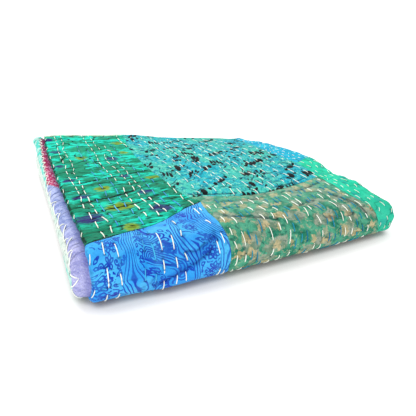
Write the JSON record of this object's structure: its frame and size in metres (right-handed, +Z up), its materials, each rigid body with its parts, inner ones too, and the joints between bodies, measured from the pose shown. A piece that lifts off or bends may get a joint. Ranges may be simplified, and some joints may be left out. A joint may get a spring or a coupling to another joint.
{
  "type": "folded kantha quilt",
  "caption": "Cotton patchwork kantha quilt throw, folded in four along its length and in three across its width, lying flat with a rolled front fold.",
  "frame": {"origin": "centre of the bounding box, on the floor plane that the quilt rests on", "axes": "+Z up; -Y is the rolled front fold; -X is the side of the top layer's free hem; +Y is the long side of the folded bundle"},
  "size_m": [0.4082, 0.4816, 0.061],
  "materials": {
    "patchwork_cotton": "matt puckered cotton, hand stitched"
  },
  "bodies": {
    "root": {"quilt": "patchwork_cotton"}
  },
  "joints": []
}
